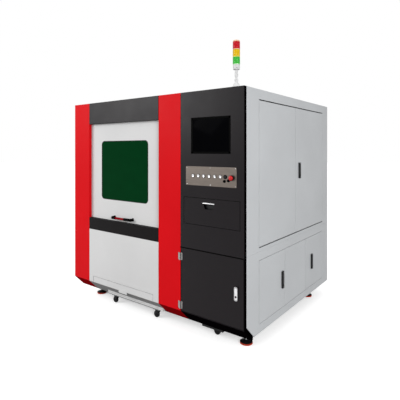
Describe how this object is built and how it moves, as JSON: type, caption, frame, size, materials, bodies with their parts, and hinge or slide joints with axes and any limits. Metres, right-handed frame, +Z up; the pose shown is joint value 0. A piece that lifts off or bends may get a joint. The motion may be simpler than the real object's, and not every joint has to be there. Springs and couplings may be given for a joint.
{
  "type": "fiber laser cutting machine",
  "caption": "Enclosed fiber laser cutting machine: lift door over a gantry bed, control column with screen, keyboard drawer and switches, side doors, castors, levelling feet and a lamp beacon.",
  "frame": {"origin": "centre of the bounding box's base, on the floor under the machine", "axes": "+Z up, +Y from the operator's front to the back, +X to the operator's right where the control column stands"},
  "size_m": [1.812, 1.616, 2.098],
  "materials": {
    "red_paint": "satin powder coat",
    "charcoal_paint": "fine matt powder coat",
    "white_paint": "satin powder coat",
    "grey_paint": "satin powder coat",
    "frame_paint": "satin enamel on welded tube",
    "black_enamel": "satin enamel on pressed steel",
    "brushed_stainless": "brushed sideways",
    "chrome": "polished plating",
    "galvanised": "dull zinc plating",
    "bare_steel": "cut plate, lightly oxidised",
    "ground_aluminium": "fine milled",
    "black_plastic": "matt moulded",
    "red_plastic": "gloss moulded",
    "screen_plastic": "gloss screen in a matt surround",
    "orange_rubber": "ribbed rubber under a dark steel dome",
    "wheel_rubber": "hard castor rubber",
    "door_glass": "dark green laser filter, glossy",
    "lens_green": "translucent lens",
    "lens_amber": "translucent lens",
    "lens_red": "translucent lens"
  },
  "bodies": {
    "cabinet": {"base_frame": "frame_paint", "beacon_lens_amber": "lens_amber", "beacon_lens_green": "lens_green", "beacon_lens_red": "lens_red", "beacon_stem": "white_paint", "cabinet_hinges": "chrome", "control_column": "charcoal_paint", "control_plate": "brushed_stainless", "front_sill": "charcoal_paint", "header_panel": "charcoal_paint", "laser_source": "charcoal_paint", "left_column": "red_paint", "left_side_skins": "grey_paint", "levelling_feet": "orange_rubber", "lower_front_panel": "white_paint", "machine_bed": "grey_paint", "monitor": "screen_plastic", "partition": "galvanised", "rear_panel": "white_paint", "right_column": "red_paint", "right_side_skins": "grey_paint", "roof_panel": "grey_paint", "work_table": "bare_steel"},
    "front_door": {"front_door": "white_paint", "door_window": "door_glass", "door_handle": "black_plastic"},
    "keyboard_drawer": {"keyboard_drawer": "charcoal_paint"},
    "scrap_drawer": {"scrap_drawer": "white_paint"},
    "cabinet_door": {"cabinet_door": "charcoal_paint"},
    "latch_paddle": {"latch_paddle": "chrome"},
    "right_upper_front_leaf": {"right_upper_front_leaf": "grey_paint"},
    "right_upper_rear_leaf": {"right_upper_rear_leaf": "grey_paint"},
    "right_lower_front_leaf": {"right_lower_front_leaf": "grey_paint"},
    "right_lower_rear_leaf": {"right_lower_rear_leaf": "grey_paint"},
    "upper_lock_paddle": {"upper_lock_paddle": "black_plastic"},
    "lower_front_lock_paddle": {"lower_front_lock_paddle": "black_plastic"},
    "lower_rear_lock_paddle": {"lower_rear_lock_paddle": "black_plastic"},
    "gantry_beam": {"gantry_beam": "ground_aluminium"},
    "x_carriage": {"x_carriage": "ground_aluminium"},
    "cutting_head": {"cutting_head": "black_plastic"},
    "key_switch": {"key_switch": "black_plastic"},
    "stop_button": {"stop_button": "red_plastic"},
    "push_button_1": {"push_button_1": "chrome"},
    "push_button_2": {"push_button_2": "chrome"},
    "push_button_3": {"push_button_3": "chrome"},
    "push_button_4": {"push_button_4": "chrome"},
    "push_button_5": {"push_button_5": "chrome"},
    "push_button_6": {"push_button_6": "chrome"},
    "castor_fork_front_left": {"castor_fork_front_left": "black_enamel"},
    "castor_fork_front_middle": {"castor_fork_front_middle": "black_enamel"},
    "castor_fork_front_right": {"castor_fork_front_right": "black_enamel"},
    "castor_fork_rear_left": {"castor_fork_rear_left": "black_enamel"},
    "castor_fork_rear_middle": {"castor_fork_rear_middle": "black_enamel"},
    "castor_fork_rear_right": {"castor_fork_rear_right": "black_enamel"},
    "castor_wheel_front_left": {"castor_wheel_front_left": "wheel_rubber"},
    "castor_wheel_front_middle": {"castor_wheel_front_middle": "wheel_rubber"},
    "castor_wheel_front_right": {"castor_wheel_front_right": "wheel_rubber"},
    "castor_wheel_rear_left": {"castor_wheel_rear_left": "wheel_rubber"},
    "castor_wheel_rear_middle": {"castor_wheel_rear_middle": "wheel_rubber"},
    "castor_wheel_rear_right": {"castor_wheel_rear_right": "wheel_rubber"}
  },
  "joints": [
    {"name": "door_lift", "type": "slide", "parent": "cabinet", "child": "front_door", "axis": [0, 0, 1], "range_m": [0, 0.48]},
    {"name": "keyboard_drawer_slide", "type": "slide", "parent": "cabinet", "child": "keyboard_drawer", "axis": [0, -1, 0], "range_m": [0, 0.26]},
    {"name": "scrap_drawer_slide", "type": "slide", "parent": "cabinet", "child": "scrap_drawer", "axis": [0, -1, 0], "range_m": [0, 0.5]},
    {"name": "cabinet_door_hinge", "type": "hinge", "parent": "cabinet", "child": "cabinet_door", "pos_m": [0.3627, -0.788, 0.41], "axis": [0, 0, -1], "range_deg": [0, 110]},
    {"name": "latch_hinge", "type": "hinge", "parent": "cabinet_door", "child": "latch_paddle", "pos_m": [0.836, -0.789, 0.459], "axis": [-1, 0, 0], "range_deg": [0, 50], "stiffness_Nm_per_rad": 0.05},
    {"name": "upper_front_leaf_hinge", "type": "hinge", "parent": "cabinet", "child": "right_upper_front_leaf", "pos_m": [0.888, -0.581, 1.11], "axis": [0, 0, -1], "range_deg": [0, 110]},
    {"name": "upper_rear_leaf_hinge", "type": "hinge", "parent": "cabinet", "child": "right_upper_rear_leaf", "pos_m": [0.888, 0.614, 1.11], "axis": [0, 0, 1], "range_deg": [0, 110]},
    {"name": "lower_front_leaf_hinge", "type": "hinge", "parent": "cabinet", "child": "right_lower_front_leaf", "pos_m": [0.888, -0.581, 0.41], "axis": [0, 0, -1], "range_deg": [0, 110]},
    {"name": "lower_rear_leaf_hinge", "type": "hinge", "parent": "cabinet", "child": "right_lower_rear_leaf", "pos_m": [0.888, 0.609, 0.41], "axis": [0, 0, 1], "range_deg": [0, 110]},
    {"name": "upper_lock_hinge", "type": "hinge", "parent": "right_upper_rear_leaf", "child": "upper_lock_paddle", "pos_m": [0.901, 0.086, 1.24], "axis": [0, -1, 0], "range_deg": [0, 50], "stiffness_Nm_per_rad": 0.05},
    {"name": "lower_front_lock_hinge", "type": "hinge", "parent": "right_lower_front_leaf", "child": "lower_front_lock_paddle", "pos_m": [0.901, -0.23, 0.435], "axis": [0, -1, 0], "range_deg": [0, 50], "stiffness_Nm_per_rad": 0.05},
    {"name": "lower_rear_lock_hinge", "type": "hinge", "parent": "right_lower_rear_leaf", "child": "lower_rear_lock_paddle", "pos_m": [0.901, 0.351, 0.4395], "axis": [0, -1, 0], "range_deg": [0, 50], "stiffness_Nm_per_rad": 0.05},
    {"name": "gantry_travel", "type": "slide", "parent": "cabinet", "child": "gantry_beam", "axis": [0, 1, 0], "range_m": [-0.29, 0.29]},
    {"name": "carriage_travel", "type": "slide", "parent": "gantry_beam", "child": "x_carriage", "axis": [1, 0, 0], "range_m": [-0.29, 0.29]},
    {"name": "head_height", "type": "slide", "parent": "x_carriage", "child": "cutting_head", "axis": [0, 0, 1], "range_m": [0, 0.09]},
    {"name": "push_button_1_press", "type": "slide", "parent": "cabinet", "child": "push_button_1", "axis": [0, 1, 0], "range_m": [0, 0.003], "stiffness_N_per_m": 400},
    {"name": "push_button_2_press", "type": "slide", "parent": "cabinet", "child": "push_button_2", "axis": [0, 1, 0], "range_m": [0, 0.003], "stiffness_N_per_m": 400},
    {"name": "push_button_3_press", "type": "slide", "parent": "cabinet", "child": "push_button_3", "axis": [0, 1, 0], "range_m": [0, 0.003], "stiffness_N_per_m": 400},
    {"name": "push_button_4_press", "type": "slide", "parent": "cabinet", "child": "push_button_4", "axis": [0, 1, 0], "range_m": [0, 0.003], "stiffness_N_per_m": 400},
    {"name": "push_button_5_press", "type": "slide", "parent": "cabinet", "child": "push_button_5", "axis": [0, 1, 0], "range_m": [0, 0.003], "stiffness_N_per_m": 400},
    {"name": "push_button_6_press", "type": "slide", "parent": "cabinet", "child": "push_button_6", "axis": [0, 1, 0], "range_m": [0, 0.003], "stiffness_N_per_m": 400},
    {"name": "key_turn", "type": "hinge", "parent": "cabinet", "child": "key_switch", "pos_m": [0.75, -0.782, 1.171], "axis": [0, 1, 0], "range_deg": [0, 90]},
    {"name": "stop_press", "type": "slide", "parent": "cabinet", "child": "stop_button", "axis": [0, 1, 0], "range_m": [0, 0.004], "stiffness_N_per_m": 500},
    {"name": "castor_swivel_front_left", "type": "hinge", "parent": "cabinet", "child": "castor_fork_front_left", "pos_m": [-0.492, -0.638, 0.07], "axis": [0, 0, 1], "continuous": true},
    {"name": "castor_roll_front_left", "type": "hinge", "parent": "castor_fork_front_left", "child": "castor_wheel_front_left", "pos_m": [-0.506, -0.638, 0.028], "axis": [0, 1, 0], "continuous": true},
    {"name": "castor_swivel_front_middle", "type": "hinge", "parent": "cabinet", "child": "castor_fork_front_middle", "pos_m": [0.007, -0.638, 0.07], "axis": [0, 0, 1], "continuous": true},
    {"name": "castor_roll_front_middle", "type": "hinge", "parent": "castor_fork_front_middle", "child": "castor_wheel_front_middle", "pos_m": [-0.007, -0.638, 0.028], "axis": [0, 1, 0], "continuous": true},
    {"name": "castor_swivel_front_right", "type": "hinge", "parent": "cabinet", "child": "castor_fork_front_right", "pos_m": [0.563, -0.583, 0.07], "axis": [0, 0, 1], "continuous": true},
    {"name": "castor_roll_front_right", "type": "hinge", "parent": "castor_fork_front_right", "child": "castor_wheel_front_right", "pos_m": [0.549, -0.583, 0.028], "axis": [0, 1, 0], "continuous": true},
    {"name": "castor_swivel_rear_left", "type": "hinge", "parent": "cabinet", "child": "castor_fork_rear_left", "pos_m": [-0.492, 0.678, 0.07], "axis": [0, 0, 1], "continuous": true},
    {"name": "castor_roll_rear_left", "type": "hinge", "parent": "castor_fork_rear_left", "child": "castor_wheel_rear_left", "pos_m": [-0.506, 0.678, 0.028], "axis": [0, 1, 0], "continuous": true},
    {"name": "castor_swivel_rear_middle", "type": "hinge", "parent": "cabinet", "child": "castor_fork_rear_middle", "pos_m": [0.007, 0.678, 0.07], "axis": [0, 0, 1], "continuous": true},
    {"name": "castor_roll_rear_middle", "type": "hinge", "parent": "castor_fork_rear_middle", "child": "castor_wheel_rear_middle", "pos_m": [-0.007, 0.678, 0.028], "axis": [0, 1, 0], "continuous": true},
    {"name": "castor_swivel_rear_right", "type": "hinge", "parent": "cabinet", "child": "castor_fork_rear_right", "pos_m": [0.563, 0.678, 0.07], "axis": [0, 0, 1], "continuous": true},
    {"name": "castor_roll_rear_right", "type": "hinge", "parent": "castor_fork_rear_right", "child": "castor_wheel_rear_right", "pos_m": [0.549, 0.678, 0.028], "axis": [0, 1, 0], "continuous": true}
  ]
}
